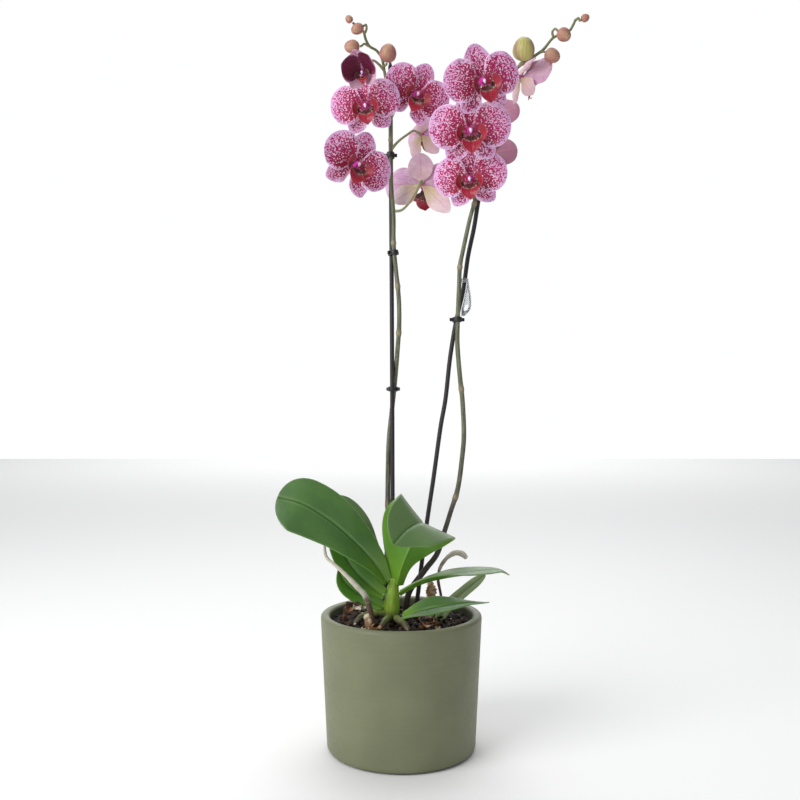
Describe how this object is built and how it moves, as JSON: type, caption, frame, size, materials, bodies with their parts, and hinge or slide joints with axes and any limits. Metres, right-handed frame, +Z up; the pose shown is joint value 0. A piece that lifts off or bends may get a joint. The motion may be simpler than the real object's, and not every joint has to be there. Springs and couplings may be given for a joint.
{
  "type": "moth orchid in ceramic pot",
  "caption": "Potted moth orchid with two staked flower spikes of crimson-dotted lilac blooms, strap leaves and a plain round sage-green ceramic pot.",
  "frame": {"origin": "centre of the pot's flat underside", "axes": "+Z up along the pot's axis, -Y towards the front that the flowers face, +X to the right seen from the front"},
  "size_m": [0.2756, 0.1581, 0.6495],
  "materials": {
    "glaze": "matt sage green glaze",
    "bark": "damp dark bark chips",
    "crown": "fresh yellow-green stem",
    "leaf": "waxy green leaf",
    "root": "silver-grey root skin",
    "sheath": "dry papery brown",
    "stem": "olive green stem",
    "stake": "dark purple-brown plastic",
    "clip": "black plastic",
    "clear": "clear plastic",
    "bud": "pink and yellow bud",
    "green_bud": "large yellow-green bud",
    "tepal": "pale lilac petals with crimson dots",
    "lip": "crimson lip"
  },
  "bodies": {
    "root": {"pot": "glaze", "potting_mix": "bark", "crown": "crown", "leaf_1": "leaf", "leaf_2": "leaf", "leaf_3": "leaf", "leaf_4": "leaf", "leaf_5": "leaf", "leaf_6": "leaf", "leaf_7": "leaf", "leaf_8": "leaf", "aerial_root_left": "root", "aerial_root_right": "root", "dry_sheath_standing": "sheath", "dry_sheath_right": "sheath", "dry_sheath_front": "sheath", "dry_sheath_left": "sheath", "stake_left": "stake", "stake_right": "stake", "spike_left": "stem", "spike_right": "stem", "clip_left_low": "clip", "clip_left_high": "clip", "clip_left_top": "clip", "clip_right": "clip", "clear_clip_right": "clear", "bud_a1": "bud", "bud_a2": "bud", "bud_a3": "bud", "bud_a4": "bud", "bud_b1": "green_bud", "bud_b2": "bud", "bud_b3": "bud", "bud_b4": "bud", "bloom_a1": "tepal", "lip_a1": "lip", "bloom_a2": "tepal", "lip_a2": "lip", "bloom_a3": "tepal", "lip_a3": "lip", "bloom_a4": "tepal", "lip_a4": "lip", "bloom_a5": "tepal", "lip_a5": "lip", "bloom_a6": "tepal", "lip_a6": "lip", "bloom_b1": "tepal", "lip_b1": "lip", "bloom_b2": "tepal", "lip_b2": "lip", "bloom_b3": "tepal", "lip_b3": "lip", "bloom_b4": "tepal", "lip_b4": "lip", "bloom_b5": "tepal", "lip_b5": "lip", "bloom_b6": "tepal", "lip_b6": "lip"}
  },
  "joints": []
}
